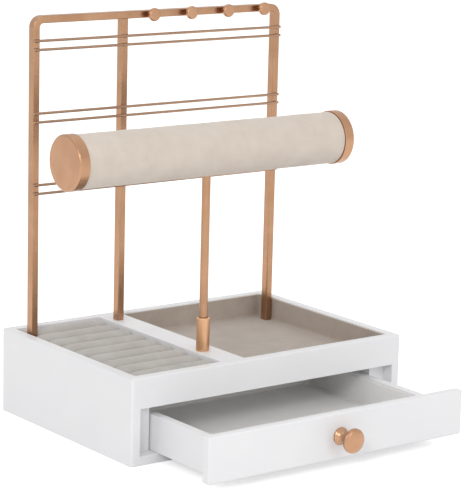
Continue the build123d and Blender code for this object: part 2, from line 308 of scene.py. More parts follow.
@dataclass(frozen=True)
class PlainFinish:
    """Hidden card and zinc: a mottled tone with a fine relief."""

    name: str
    tone: tuple[float, float, float]
    deep_tone: tuple[float, float, float]
    metallic: float
    gloss: tuple[float, float]
    mottle: float = 700.0

    def make(self) -> bpy.types.Material:
        """Build the material."""
        sketch = NodeSketch(self.name)
        shader = sketch.shader
        mottle = sketch.grain(self.mottle)
        sketch.link(sketch.blended(sketch.spread(mottle, 0.0, 1.0), self.tone, self.deep_tone),
                    shader.inputs["Base Color"])
        sketch.link(sketch.spread(mottle, *self.gloss), shader.inputs["Roughness"])
        sketch.link(sketch.relief(mottle, strength=0.2, depth=0.03 * MM), shader.inputs["Normal"])
        shader.inputs["Metallic"].default_value = self.metallic
        return sketch.material


class Finishes:
    """All finishes of the stand, each made once."""

    BAR_GOLD = (0.480, 0.283, 0.170)
    DEEP_BAR_GOLD = (0.360, 0.196, 0.112)
    SATIN_GOLD = (0.530, 0.308, 0.187)
    DEEP_SATIN_GOLD = (0.420, 0.230, 0.134)
    # The ferrule tones are painted light: a much lighter copy of the rose gold that stands in for the front
    # light on the round collar.
    FRONT_LIT_FERRULE_GOLD = (0.740, 0.435, 0.250)
    DEEP_FRONT_LIT_FERRULE_GOLD = (0.590, 0.330, 0.180)
    WIRE_GOLD = (0.430, 0.275, 0.185)
    DEEP_WIRE_GOLD = (0.350, 0.212, 0.137)

    def __init__(self) -> None:
        """Make the materials."""
        self.lacquer = LacquerFinish("white_satin_lacquer", (0.84, 0.84, 0.85), (0.815, 0.815, 0.83)).make()
        self.bar_gold = BrushedFinish("rose_gold_bar", self.BAR_GOLD, self.DEEP_BAR_GOLD, Brush.ALONG_Z,
                                      gloss=(0.24, 0.38)).make()
        self.wire_gold = BrushedFinish("rose_gold_wire", self.WIRE_GOLD, self.DEEP_WIRE_GOLD,
                                       Brush.ALONG_X, gloss=(0.30, 0.42), line_pitch=1200.0).make()
        # Painted light: the ferrule gets a lighter copy of the rose gold, not a metal of its own.
        self.front_lit_ferrule_gold = BrushedFinish("rose_gold_ferrule_painted_light", self.FRONT_LIT_FERRULE_GOLD, self.DEEP_FRONT_LIT_FERRULE_GOLD,
                                          Brush.ALONG_Z, gloss=(0.30, 0.42)).make()
        self.satin_gold = BrushedFinish("rose_gold_satin", self.SATIN_GOLD, self.DEEP_SATIN_GOLD,
                                        Brush.FINE, gloss=(0.27, 0.38)).make()
        self.roll_velvet = VelvetFinish("cream_velvet", (0.71, 0.63, 0.555), (0.575, 0.495, 0.425)).make()
        self.ring_velvet = VelvetFinish("pale_grey_velvet", (0.56, 0.535, 0.505),
                                        (0.39, 0.37, 0.345)).make()
        self.tray_velvet = VelvetFinish("tray_taupe_velvet", (0.50, 0.435, 0.38),
                                        (0.36, 0.31, 0.265)).make()
        # The drawer velvet's pale grey is lifted towards white: partly the velvet's own light tone, partly
        # painted light for the shaded drawer bay.
        self.drawer_velvet = VelvetFinish("drawer_grey_velvet_lifted_by_painted_light", (0.86, 0.85, 0.835),
                                          (0.75, 0.74, 0.725)).make()
        self.card = PlainFinish("grey_card", (0.42, 0.39, 0.35), (0.33, 0.30, 0.27), 0.0,
                                (0.74, 0.88)).make()
        self.zinc = PlainFinish("bright_zinc", (0.62, 0.63, 0.65), (0.50, 0.51, 0.53), 1.0,
                                (0.32, 0.46)).make()


# ------------------------------------------------------------------ geometry helpers
@dataclass(frozen=True)
class Extent:
    """The space between two opposite corners."""

    low: Vector
    high: Vector

    @classmethod
    def of(cls, *nodes: str) -> "Extent":
        """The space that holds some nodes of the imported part.

        Args:
            *nodes: Names of the nodes.

        Returns:
            Their common space.
        """
        boxes = [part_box(node) for node in nodes]
        return cls(Vector([min(low[axis] for low, _ in boxes) for axis in range(3)]),
                   Vector([max(high[axis] for _, high in boxes) for axis in range(3)]))

    @classmethod
    def of_leg(cls, side: int, gap: float) -> "Extent":
        """The space of one leg of the hanging frame, up to the top bar.

        Args:
            side: -1 for the left leg, 1 for the right.
            gap: Room added on every side.

        Returns:
            The space with its room.
        """
        hoop, width = cls.of("frame_hoop"), cls.of("middle_post").size.x
        if side < 0:
            return cls(hoop.low, Vector((hoop.low.x + width, hoop.high.y, hoop.high.z))).grown(gap)
        return cls(Vector((hoop.high.x - width, hoop.low.y, hoop.low.z)), hoop.high).grown(gap)

    @property
    def size(self) -> Vector:
        """Width, depth and height."""
        return self.high - self.low

    @property
    def middle(self) -> Vector:
        """The middle point."""
        return (self.low + self.high) / 2

    def grown(self, by: float) -> "Extent":
        """The space with every side moved outwards, or inwards where the distance is negative."""
        step = Vector((by, by, by))
        return Extent(self.low - step, self.high + step)


class Workshop:
    """Mesh operations that several sub-assemblies share."""

    @staticmethod
    def block(space: Extent) -> bmesh.types.BMesh:
        """A block that fills a space.

        Args:
            space: The space.

        Returns:
            A new mesh with six faces.
        """
        bm = bmesh.new()
        bmesh.ops.create_cube(bm, size=1.0, matrix=Matrix.LocRotScale(space.middle, None, space.size))
        return bm

    @staticmethod
    def slice(bm: bmesh.types.BMesh, point: Vector, normal: Vector,
              faces: Optional[Iterable[bmesh.types.BMFace]] = None) -> None:
        """Cut edges where a plane passes.

        Args:
            bm: The mesh.
            point: A point of the plane.
            normal: Its normal.
            faces: Faces to cut, or all.
        """
        chosen = set(faces) if faces is not None else set(bm.faces)
        edges = {edge for face in chosen for edge in face.edges}
        verts = {vert for face in chosen for vert in face.verts}
        bmesh.ops.bisect_plane(bm, geom=[*verts, *edges, *chosen], dist=WELD_DISTANCE,
                               plane_co=point, plane_no=normal)

    @staticmethod
    def edges_where(bm: bmesh.types.BMesh,
                    test: Callable[[Vector, Vector], bool]) -> list[bmesh.types.BMEdge]:
        """Sharp edges that pass a test.

        Args:
            bm: The mesh.
            test: Takes an edge's middle and its direction.

        Returns:
            The edges that fold by more than a few degrees and pass.
        """
        found = []
        for edge in bm.edges:
            if len(edge.link_faces) == 2 and edge.calc_face_angle(0.0) > LEAST_FOLD:
                first, second = (vert.co for vert in edge.verts)
                if test((first + second) / 2, (second - first).normalized()):
                    found.append(edge)
        return found

    @staticmethod
    def round_edges(bm: bmesh.types.BMesh, edges: Sequence[bmesh.types.BMEdge],
                    radius: float, segments: int = 3) -> None:
        """Round edges with an arc.

        Args:
            bm: The mesh.
            edges: Edges to round.
            radius: Radius of the arc.
            segments: Facets across the arc.
        """
        if edges:
            bmesh.ops.bevel(bm, geom=list(edges), offset=radius, offset_type="OFFSET", segments=segments,
                            profile=0.5, affect="EDGES", clamp_overlap=True, material=-1)

    @staticmethod
    def turned(profile: Sequence[tuple[float, float]], centre: Vector, axis: Vector, side: Vector,
               steps: int = 48) -> bmesh.types.BMesh:
        """Turn a profile about an axis.

        Args:
            profile: Points as (distance from the axis, height along it).
            centre: Point of the axis at height 0.
            axis: Direction of the axis.
            side: Direction in which the profile is drawn.
            steps: Facets round the axis.

        Returns:
            The closed turned mesh.
        """
        bm = bmesh.new()
        verts = [bm.verts.new(centre + side * radius + axis * height) for radius, height in profile]
        edges = [bm.edges.new(pair) for pair in zip(verts, verts[1:])]
        bmesh.ops.spin(bm, geom=[*verts, *edges], cent=centre, axis=axis, dvec=Vector(), steps=steps,
                       angle=math.tau, use_merge=True, use_duplicate=False)
        bmesh.ops.remove_doubles(bm, verts=bm.verts, dist=WELD_DISTANCE)
        bmesh.ops.recalc_face_normals(bm, faces=bm.faces)
        return bm

    @staticmethod
    def rings_at(bm: bmesh.types.BMesh, centre: Vector, axis: Vector, radius: float,
                 height: float) -> list[bmesh.types.BMEdge]:
        """The edges of one ring of a turned mesh.

        Args:
            bm: The turned mesh.
            centre: Point of the axis at height 0.
            axis: Direction of the axis.
            radius: Radius of the ring.
            height: Its height along the axis.

        Returns:
            The edges both of whose ends lie on the ring.
        """
        def on_ring(vert: bmesh.types.BMVert) -> bool:
            """Whether a vertex lies on the ring."""
            offset = vert.co - centre
            along = offset.dot(axis)
            away = (offset - axis * along).length
            return abs(along - height) < RING_TOLERANCE and abs(away - radius) < RING_TOLERANCE

        return [edge for edge in bm.edges if all(on_ring(vert) for vert in edge.verts)]

    @staticmethod
    def round_rings(bm: bmesh.types.BMesh, centre: Vector, axis: Vector,
                    rings: Iterable[tuple[float, float]], radius: float, segments: int = 3) -> None:
        """Round rings of a turned mesh, one after the other.

        Args:
            bm: The turned mesh.
            centre: Point of the axis at height 0.
            axis: Direction of the axis.
            rings: The rings as (radius, height along the axis).
            radius: Radius of the rounding.
            segments: Facets across the rounding.
        """
        for ring, height in rings:
            Workshop.round_edges(bm, Workshop.rings_at(bm, centre, axis, ring, height), radius, segments)

    @staticmethod
    def rod(place: Matrix, radius: float, length: float, facets: int) -> bmesh.types.BMesh:
        """A round rod with flat ends.

        Args:
            place: Where its middle lies and how its Z axis is turned.
            radius: Its radius.
            length: Its length.
            facets: Facets round it.

        Returns:
            The closed mesh.
        """
        bm = bmesh.new()
        bmesh.ops.create_cone(bm, cap_ends=True, segments=facets, radius1=radius, radius2=radius,
                              depth=length, matrix=place)
        return bm

    @staticmethod
    def ripple(bm: bmesh.types.BMesh, amount: float, scale: float, seed: float) -> None:
        """Move vertices along their normals by smooth noise.

        Args:
            bm: The mesh.
            amount: Largest move.
            scale: Waves per metre.
            seed: Shift of the noise, so that pieces differ.
        """
        bm.normal_update()
        shift = Vector((seed, 2.3 * seed, -1.7 * seed))
        moves = [vert.normal * amount * noise.noise(vert.co * scale + shift) for vert in bm.verts]
        for vert, move in zip(bm.verts, moves):
            vert.co += move

    @staticmethod
    def loose(bm: bmesh.types.BMesh) -> bpy.types.Object:
        """Put a mesh into the scene for a while.

        Args:
            bm: The mesh, freed here.

        Returns:
            An object that the caller removes.
        """
        mesh = bpy.data.meshes.new("loose")
        bm.to_mesh(mesh)
        bm.free()
        thing = bpy.data.objects.new("loose", mesh)
        bpy.context.scene.collection.objects.link(thing)
        return thing

    @staticmethod
    def settled(thing: bpy.types.Object) -> bpy.types.Mesh:
        """The mesh that an object's modifiers give."""
        graph = bpy.context.evaluated_depsgraph_get()
        return bpy.data.meshes.new_from_object(thing.evaluated_get(graph))

    @staticmethod
    def cut_out(bm: bmesh.types.BMesh, cutter: bmesh.types.BMesh) -> bmesh.types.BMesh:
        """Cut one closed mesh out of another.

        Args:
            bm: The mesh, freed here.
            cutter: What is cut away, freed here.

        Returns:
            What is left.
        """
        body, tool = Workshop.loose(bm), Workshop.loose(cutter)
        gap = body.modifiers.new("gap", "BOOLEAN")
        gap.operation = "DIFFERENCE"
        gap.solver = "EXACT"
        gap.object = tool
        left = bmesh.new()
        left.from_mesh(Workshop.settled(body))
        for thing in (body, tool):
            bpy.data.objects.remove(thing)
        return left


@dataclass(frozen=True)
class Stuffing:
    """How the filling of a padded piece swells its cover."""

    voxel: float = 2.2 * MM
    pressure: float = 4.0
    frames: int = 20
    reach: float = 0.9 * MM

    def swell(self, covers: Sequence[bmesh.types.BMesh]) -> list[bmesh.types.BMesh]:
        """Swell closed covers as cloth with air inside, all in one run.

        Args:
            covers: The covers, freed here.

        Returns:
            The swollen covers, in the same order.
        """
        things = [self.meshed(cover) for cover in covers]
        for thing in things:
            cloth = thing.modifiers.new("filling", "CLOTH")
            cloth.settings.use_pressure = True
            cloth.settings.uniform_pressure_force = self.pressure
            cloth.settings.effector_weights.gravity = 0.0
        for frame in range(1, self.frames + 1):
            bpy.context.scene.frame_set(frame)
        swollen = [self.capped(thing) for thing in things]
        bpy.context.scene.frame_set(1)
        return swollen

    def meshed(self, cover: bmesh.types.BMesh) -> bpy.types.Object:
        """Give a cover an even mesh, fine enough to wrinkle."""
        thing = Workshop.loose(cover)
        even = thing.modifiers.new("even", "REMESH")
        even.mode = "VOXEL"
        even.voxel_size = self.voxel
        mesh = Workshop.settled(thing)
        thing.modifiers.clear()
        thing.data = mesh
        return thing

    def capped(self, thing: bpy.types.Object) -> bmesh.types.BMesh:
        """Take a simulated cover out of the scene and limit how far its points moved.

        Args:
            thing: The cover, removed here.

        Returns:
            Its mesh.
        """
        moved = Workshop.settled(thing)
        bm = bmesh.new()
        bm.from_mesh(thing.data)
        for vert, target in zip(bm.verts, moved.vertices):
            shift = target.co - vert.co
            if shift.length > self.reach:
                shift *= self.reach / shift.length
            vert.co += shift
        bpy.data.objects.remove(thing)
        return bm


@dataclass
class Assembly:
    """A sub-assembly: it makes its pieces, dresses them and ties them to the part."""

    finishes: Finishes
    body: Body = Body.STAND

    def piece(self, name: str, bm: bmesh.types.BMesh, finish: bpy.types.Material, slot: Slot,
              nodes: Sequence[str] = (), crease: float = 38.0, weighted: bool = True) -> bpy.types.Object:
        """Turn a mesh into a finished piece.

        Args:
            name: Name of the piece.
            bm: Its mesh, freed here.
            finish: Its material.
            slot: Its material slot in the record; not used.
            nodes: Nodes of the part that it stands for.
            crease: Edges that fold by more degrees than this stay sharp.
            weighted: Whether large faces keep their flat shading.

        Returns:
            The new object, riding on the body of the sub-assembly.
        """
        bmesh.ops.remove_doubles(bm, verts=bm.verts, dist=WELD_DISTANCE)
        bmesh.ops.recalc_face_normals(bm, faces=bm.faces)
        mesh = bpy.data.meshes.new(name)
        bm.to_mesh(mesh)
        bm.free()
        mesh.polygons.foreach_set("use_smooth", [True] * len(mesh.polygons))
        mesh.set_sharp_from_angle(angle=math.radians(crease))
        mesh.materials.append(finish)
        thing = bpy.data.objects.new(name, mesh)
        bpy.context.scene.collection.objects.link(thing)
        if weighted:
            level = thing.modifiers.new("even_shading", "WEIGHTED_NORMAL")
            level.keep_sharp = True
        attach(thing, self.body.value)
        if nodes:
            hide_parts(*nodes)
        LOG.info("%s: %d faces", name, len(mesh.polygons))
        return thing

    def dress(self, finish: bpy.types.Material, *nodes: str) -> None:
        """Give nodes of the part that stay in sight their material.

        Args:
            finish: The material.
            *nodes: Names of the nodes.
        """
        for node in nodes:
            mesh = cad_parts[node].data
            mesh.materials.clear()
            mesh.materials.append(finish)
            LOG.info("%s keeps its solid", node)


# ------------------------------------------------------------------ box
@dataclass
class LacqueredBox(Assembly):
    """The painted box: walls, divider, deck and base under one coat of lacquer."""

    upright_round: float = 2.5 * MM
    tray_corner_round: float = 1.6 * MM
    rim_round: float = 1.0 * MM
    inner_rim_round: float = 0.6 * MM
    panels: tuple[str, ...] = ("left_side_panel", "right_side_panel", "back_panel", "front_rail",
                               "base_panel", "deck_panel", "tray_divider")

    def build(self) -> None:
        """Make the box and dress what is inside its drawer bay."""
        whole = Extent.of(*self.panels)
        rail, base, deck = Extent.of("front_rail"), Extent.of("base_panel"), Extent.of("deck_panel")
        divider = Extent.of("tray_divider")
        bm = Workshop.block(whole)
        for point, normal in ((deck.low, (1, 0, 0)), (deck.high, (1, 0, 0)),
                              (base.high, (0, 0, 1)), (rail.low, (0, 0, 1))):
            Workshop.slice(bm, Vector(point), Vector(normal), self.facing(bm, Vector((0, -1, 0))))
        bay = self.face_near(bm, Vector((0, whole.low.y, (base.high.z + rail.low.z) / 2)))
        self.push(bm, bay, Vector((0, deck.high.y - whole.low.y, 0)))
        for point, normal in ((deck.low, (0, 1, 0)), (deck.high, (0, 1, 0)), (deck.low, (1, 0, 0)),
                              (deck.high, (1, 0, 0)), (divider.low, (1, 0, 0)), (divider.high, (1, 0, 0))):
            tops = [face for face in bm.faces
                    if face.normal.z > ALONG and face.calc_center_median().z > whole.high.z - MM]
            Workshop.slice(bm, Vector(point), Vector(normal), tops)
        depth = Vector((0, 0, deck.high.z - whole.high.z))
        for x in ((deck.low.x + divider.low.x) / 2, (divider.high.x + deck.high.x) / 2):
            self.push(bm, self.face_near(bm, Vector((x, 0, whole.high.z))), depth)
        self.soften(bm, whole, deck)
        self.piece("lacquered_box", bm, self.finishes.lacquer, Slot.LACQUER, self.panels)
        self.dress(self.finishes.lacquer, "left_bay_stile", "right_bay_stile",
                   "left_drawer_guide", "right_drawer_guide")

    def soften(self, bm: bmesh.types.BMesh, whole: Extent, deck: Extent) -> None:
        """Round the lacquered edges.

        Args:
            bm: Mesh of the box.
            whole: Its outer space.
            deck: Space of the deck between the inner walls.
        """
        near = NEAR / 2

        def outer_upright(middle: Vector, way: Vector) -> bool:
            """Whether an edge is an upright corner of the box."""
            return (abs(way.z) > ALONG and abs(abs(middle.x) - whole.high.x) < near
                    and abs(abs(middle.y) - whole.high.y) < near)

        def tray_upright(middle: Vector, way: Vector) -> bool:
            """Whether an edge is an upright corner inside a tray."""
            return (abs(way.z) > ALONG and middle.z > deck.high.z
                    and abs(abs(middle.y) - deck.high.y) < near)

        def rim(middle: Vector, _: Vector) -> bool:
            """Whether an edge lies in the top face."""
            return abs(middle.z - whole.high.z) < near

        def outside(middle: Vector) -> bool:
            """Whether a point lies on the outline seen from above."""
            corner = self.upright_round + near
            return (abs(middle.x) > whole.high.x - corner or abs(middle.y) > whole.high.y - corner)

        def mouth(middle: Vector, _: Vector) -> bool:
            """Whether an edge frames the drawer bay."""
            return (abs(middle.y - whole.low.y) < near and near < middle.z < whole.high.z - near
                    and abs(middle.x) < whole.high.x - self.upright_round)

        for chosen, radius, segments in (
                (outer_upright, self.upright_round, 5),
                (tray_upright, self.tray_corner_round, 4),
                (lambda m, w: rim(m, w) and outside(m), self.rim_round, 3),
                (lambda m, w: rim(m, w) and not outside(m), self.inner_rim_round, 3),
                (mouth, self.inner_rim_round, 3)):
            Workshop.round_edges(bm, Workshop.edges_where(bm, chosen), radius, segments)

    @staticmethod
    def facing(bm: bmesh.types.BMesh, way: Vector) -> list[bmesh.types.BMFace]:
        """Faces that look in one direction."""
        bm.normal_update()
        return [face for face in bm.faces if face.normal.dot(way) > ALONG]

    @staticmethod
    def face_near(bm: bmesh.types.BMesh, point: Vector) -> bmesh.types.BMFace:
        """The face whose middle is nearest to a point."""
        return min(bm.faces, key=lambda face: (face.calc_center_median() - point).length)

    @staticmethod
    def push(bm: bmesh.types.BMesh, face: bmesh.types.BMFace, way: Vector) -> None:
        """Push a face into the block to make a pocket.

        Args:
            bm: The mesh.
            face: Face at the pocket's mouth.
            way: How far and where its floor goes.
        """
        made = bmesh.ops.extrude_discrete_faces(bm, faces=[face])
        bmesh.ops.translate(bm, verts=made["faces"][0].verts, vec=way)


# ------------------------------------------------------------------ ring tray
@dataclass
class RingCushions(Assembly):
    """Nine velvet rolls side by side, pressed together across the whole tray."""

    count: int = 9
    crown_share: float = 0.985
    crown_steps: int = 10
    end_round: float = 6.5 * MM
    end_drop: float = 0.34
    end_pinch: float = 0.26
    slices_along: int = 26
    slack: float = 0.6 * MM
    bulge: float = 0.45 * MM
    bulge_scale: float = 70.0
    bulge_shift: float = 3.1
    leg_gap: float = 0.3 * MM
    fullness: float = 0.8
    stuffing: Stuffing = Stuffing()

    def build(self) -> None:
        """Shape the covers, swell them and cut the leg's way through them."""
        nodes = [f"ring_roll_{number + 1}" for number in range(self.count)]
        spaces = [Extent.of(node) for node in nodes]
        covers = self.stuffing.swell([self.cover(space) for space in spaces])
        way = Extent.of_leg(-1, self.leg_gap)
        for number, (node, space, bm) in enumerate(zip(nodes, spaces, covers), start=1):
            Workshop.ripple(bm, self.bulge, self.bulge_scale, self.bulge_shift * number)
            self.kept_within(bm, space)
            bm = self.smoothed(bm)
            if space.high.y > way.low.y and space.low.y < way.high.y:
                bm = Workshop.cut_out(bm, Workshop.block(way))
            thing = self.piece(f"ring_cushion_{number}", bm, self.finishes.ring_velvet,
                               Slot.RING_VELVET, [node], crease=60.0, weighted=False)

    def cover(self, space: Extent) -> bmesh.types.BMesh:
        """The slack cover of one roll: a long block with a round crown and drawn-in ends.

        Args:
            space: Space of the roll in the part.

        Returns:
            Its mesh.
        """
        inner = space.grown(-self.slack)
        bm = Workshop.block(inner)
        top = Workshop.edges_where(
            bm, lambda middle, way: abs(way.x) > ALONG and middle.z > inner.high.z - MM)
        Workshop.round_edges(bm, top, inner.size.y / 2 * self.crown_share, self.crown_steps)
        for index in range(1, self.slices_along):
            share = 0.5 - 0.5 * math.cos(math.pi * index / self.slices_along)
            Workshop.slice(bm, Vector((inner.low.x + share * inner.size.x, 0, 0)), Vector((1, 0, 0)))
        for vert in bm.verts:
            inset = min(vert.co.x - inner.low.x, inner.high.x - vert.co.x)
            if inset < self.end_round:
                fall = 1.0 - math.sqrt(max(0.0, 1.0 - (1.0 - inset / self.end_round) ** 2))
                vert.co.z -= (vert.co.z - inner.low.z) * self.end_drop * fall
                vert.co.y += (inner.middle.y - vert.co.y) * self.end_pinch * fall
        return bm

    @staticmethod
    def kept_within(bm: bmesh.types.BMesh, space: Extent) -> None:
        """Press a roll flat where it meets the deck, the walls or the next roll.

        Args:
            bm: Its mesh.
            space: Its space in the part.
        """
        for vert in bm.verts:
            for axis in range(3):
                vert.co[axis] = min(max(vert.co[axis], space.low[axis]), space.high[axis])

    @staticmethod
    def smoothed(bm: bmesh.types.BMesh) -> bmesh.types.BMesh:
        """Subdivide a mesh once.

        Args:
            bm: The mesh, freed here.

        Returns:
            The finer mesh.
        """
        thing = Workshop.loose(bm)
        finer = thing.modifiers.new("finer", "SUBSURF")
        finer.levels = finer.render_levels = 1
        smooth = bmesh.new()
        smooth.from_mesh(Workshop.settled(thing))
        bpy.data.objects.remove(thing)
        return smooth


# ------------------------------------------------------------------ open tray and drawer linings
@dataclass
class VelvetLinings(Assembly):
    """A velvet covered insert: thin walls that turn into a floor with a soft fold."""

    fold_share: float = 0.6
    rim_share: float = 0.4

    def insert(self, name: str, node: str, wall: float, corner: float, finish: bpy.types.Material,
               slot: Slot, leg: Optional[Extent] = None) -> bpy.types.Object:
        """Make one insert.

        Args:
            name: Name of the piece.
            node: Node of the part that it stands for.
            wall: Thickness of its walls and floor.
            corner: Radius of its upright corners, of which the fold above the floor takes a share.
            finish: Its velvet.
            slot: Its material slot.
            leg: Space of a leg that comes up through its floor.

        Returns:
            The finished piece.
        """
        space = Extent.of(node)
        bm = Workshop.block(space)
        bm.normal_update()
        top = max(bm.faces, key=lambda face: face.normal.z)
        bmesh.ops.inset_region(bm, faces=[top], thickness=wall, depth=0.0, use_even_offset=True)
        made = bmesh.ops.extrude_discrete_faces(bm, faces=[top])
        bmesh.ops.translate(bm, verts=made["faces"][0].verts, vec=(0, 0, wall - space.size.z))

        def inside(middle: Vector) -> bool:
            """Whether a point lies within the outer walls."""
            half = wall / 2
            return (space.low.x + half < middle.x < space.high.x - half
                    and space.low.y + half < middle.y < space.high.y - half)

        uprights = Workshop.edges_where(bm, lambda m, w: abs(w.z) > ALONG and inside(m))
        Workshop.round_edges(bm, uprights, corner, 5)
        folds = Workshop.edges_where(
            bm, lambda m, w: abs(w.z) < ACROSS and inside(m) and m.z < space.low.z + 2 * wall)
        Workshop.round_edges(bm, folds, corner * self.fold_share, 4)
        rims = Workshop.edges_where(bm, lambda m, w: m.z > space.high.z - NEAR)
        Workshop.round_edges(bm, rims, wall * self.rim_share)
        if leg is not None:
            bmesh.ops.recalc_face_normals(bm, faces=bm.faces)
            bm = Workshop.cut_out(bm, Workshop.block(leg))
        return self.piece(name, bm, finish, slot, [node])


@dataclass
class OpenTray(VelvetLinings):
    """The open tray's taupe lining."""

    sheet: float = 1.5 * MM
    corner: float = 3.0 * MM
    leg_gap: float = 0.3 * MM

    def build(self) -> None:
        """Make the lining with the right leg's way through it."""
        self.insert("open_tray_lining", "tray_lining", self.sheet, self.corner,
                    self.finishes.tray_velvet, Slot.TRAY_VELVET, Extent.of_leg(1, self.leg_gap))


# ------------------------------------------------------------------ hanging frame
@dataclass
class HangingFrame(Assembly):
    """The bent bar hoop with its middle post, pairs of wires and necklace pegs."""

    bar_edge: float = 0.7 * MM
    bend: float = 7.0 * MM
    bend_steps: int = 10
    wire_facets: int = 16
    bead: tuple[float, float, float] = (2.6 * MM, 0.7 * MM, 0.7 * MM)
    bead_spread: float = 0.38
    peg_count: int = 4
    peg_facets: int = 32
    peg_stem: float = 2.0 * MM
    peg_stem_round: float = 0.4 * MM
    peg_head: float = 3.4 * MM
    peg_head_round: float = 1.2 * MM
    peg_back_round: float = 0.6 * MM
    peg_crown: float = 0.03 * MM
    tiers: tuple[str, ...] = ("top", "middle", "bottom")

    def build(self) -> None:
        """Make the hoop, the post, the wires and the pegs."""
        self.hoop()
        self.post()
        for tier in self.tiers:
            for place in ("upper", "lower"):
                self.wire(f"{tier}_pair_{place}_wire")
        for number in range(1, self.peg_count + 1):
            self.peg(f"necklace_peg_{number}")

    def section(self, centre: Vector) -> bmesh.types.BMesh:
        """The section of the bar: a rectangle with rounded corners.

        Args:
            centre: Middle of the section.

        Returns:
            A mesh with that one face.
        """
        post = Extent.of("middle_post")
        bm = bmesh.new()
        flat = Matrix.LocRotScale(centre, None, Vector((post.size.x, post.size.y, 1)))
        bmesh.ops.create_grid(bm, x_segments=1, y_segments=1, size=0.5, matrix=flat)
        bmesh.ops.bevel(bm, geom=list(bm.verts), offset=self.bar_edge, segments=3, profile=0.5,
                        affect="VERTICES", material=-1)
        return bm

    @staticmethod
    def drawn_on(bm: bmesh.types.BMesh, faces: list[bmesh.types.BMFace],
                 way: Vector) -> list[bmesh.types.BMFace]:
        """Draw the end of a bar on in a straight line.

        Args:
            bm: The mesh.
            faces: The end's faces.
            way: How far and where.

        Returns:
            The faces of the new end.
        """
        made = bmesh.ops.extrude_face_region(bm, geom=faces)["geom"]
        ends = [item for item in made if isinstance(item, bmesh.types.BMFace)]
        bmesh.ops.translate(bm, verts=list({vert for face in ends for vert in face.verts}), vec=way)
        return ends

    def bent_on(self, bm: bmesh.types.BMesh, faces: list[bmesh.types.BMFace],
                centre: Vector) -> list[bmesh.types.BMFace]:
        """Bend the end of a bar on by a quarter turn towards +X and down.

        Args:
            bm: The mesh.
            faces: The end's faces.
            centre: Centre of the bend.

        Returns:
            The faces of the new end.
        """
        geom = [*faces, *{edge for face in faces for edge in face.edges},
                *{vert for face in faces for vert in face.verts}]
        made = bmesh.ops.spin(bm, geom=geom, cent=centre, axis=(0, 1, 0), dvec=Vector(),
                              angle=math.pi / 2, steps=self.bend_steps, use_duplicate=False)
        return [item for item in made["geom_last"] if isinstance(item, bmesh.types.BMFace)]

    def hoop(self) -> None:
        """Make the hoop: a leg, a bend, the top bar, a bend and a leg."""
        space, width = Extent.of("frame_hoop"), Extent.of("middle_post").size.x
        left, right = space.low.x + width / 2, space.high.x - width / 2
        y, top = space.middle.y, space.high.z - width / 2
        bm = self.section(Vector((left, y, space.low.z)))
        start = list(bm.faces)
        rise = top - self.bend - space.low.z
        end = self.drawn_on(bm, start, Vector((0, 0, rise)))
        end = self.bent_on(bm, end, Vector((left + self.bend, y, top - self.bend)))
        end = self.drawn_on(bm, end, Vector((right - left - 2 * self.bend, 0, 0)))
        end = self.bent_on(bm, end, Vector((right - self.bend, y, top - self.bend)))
        self.drawn_on(bm, end, Vector((0, 0, -rise)))
        self.piece("frame_bar", bm, self.finishes.bar_gold, Slot.METAL, ["frame_hoop"])

    def post(self) -> None:
        """Make the middle post."""
        space = Extent.of("middle_post")
        bm = self.section(Vector((space.middle.x, space.middle.y, space.low.z)))
        self.drawn_on(bm, list(bm.faces), Vector((0, 0, space.size.z)))
        self.piece("frame_middle_post", bm, self.finishes.bar_gold, Slot.METAL, ["middle_post"])

    def wire(self, node: str) -> None:
        """Make one wire with rounded ends.

        Args:
            node: Node of the part that it stands for.
        """
        space = Extent.of(node)
        radius = space.size.z / 2
        centre = Vector((space.middle.x, space.low.y + radius, space.middle.z))
        lying = Matrix.Translation(centre) @ Matrix.Rotation(math.pi / 2, 4, "Y")
        bm = Workshop.rod(lying, radius, space.size.x, self.wire_facets)
        ends = Workshop.edges_where(bm, lambda middle, way: abs(way.x) < ACROSS)
        Workshop.round_edges(bm, ends, radius / 2)
        self.piece(f"{node}_drawn", bm, self.finishes.wire_gold, Slot.METAL, [node], crease=50.0)
        self.welds(node, space)

    def welds(self, node: str, space: Extent) -> None:
        """Make the small weld beads where a wire crosses the legs and the middle post.

        Args:
            node: Node of the wire.
            space: Its space.
        """
        post = Extent.of("middle_post")
        bm = bmesh.new()
        for x in (space.low.x + post.size.x / 2, post.middle.x, space.high.x - post.size.x / 2):
            for side in (-1, 1):
                spot = Vector((x, space.high.y, space.middle.z + side * space.size.z * self.bead_spread))
                bmesh.ops.create_icosphere(bm, subdivisions=2, radius=1.0,
                                           matrix=Matrix.LocRotScale(spot, None, Vector(self.bead)))
        self.piece(f"{node}_welds", bm, self.finishes.bar_gold, Slot.METAL, crease=60.0)

    def peg(self, node: str) -> None:
        """Make one peg: a stem with a rounded flat head.

        Args:
            node: Node of the part that it stands for.
        """
        space = Extent.of(node)
        out = Vector((0, -1, 0))
        base = Vector((space.middle.x, space.high.y, space.middle.z))
        head, stem, thick = space.size.x / 2, self.peg_stem, self.peg_head
        length = space.size.y
        profile = [(0, 0), (stem, 0), (stem, length - thick), (head, length - thick), (head, length),
                   (head / 2, length + self.peg_crown / 2), (0, length + self.peg_crown)]
        bm = Workshop.turned(profile, base, out, Vector((1, 0, 0)), self.peg_facets)
        Workshop.round_rings(bm, base, out, [(stem, length - thick)], self.peg_stem_round)
        Workshop.round_rings(bm, base, out, [(head, length)], self.peg_head_round, 4)
        Workshop.round_rings(bm, base, out, [(head, length - thick)], self.peg_back_round)
        self.piece(f"{node}_turned", bm, self.finishes.satin_gold, Slot.METAL, [node])


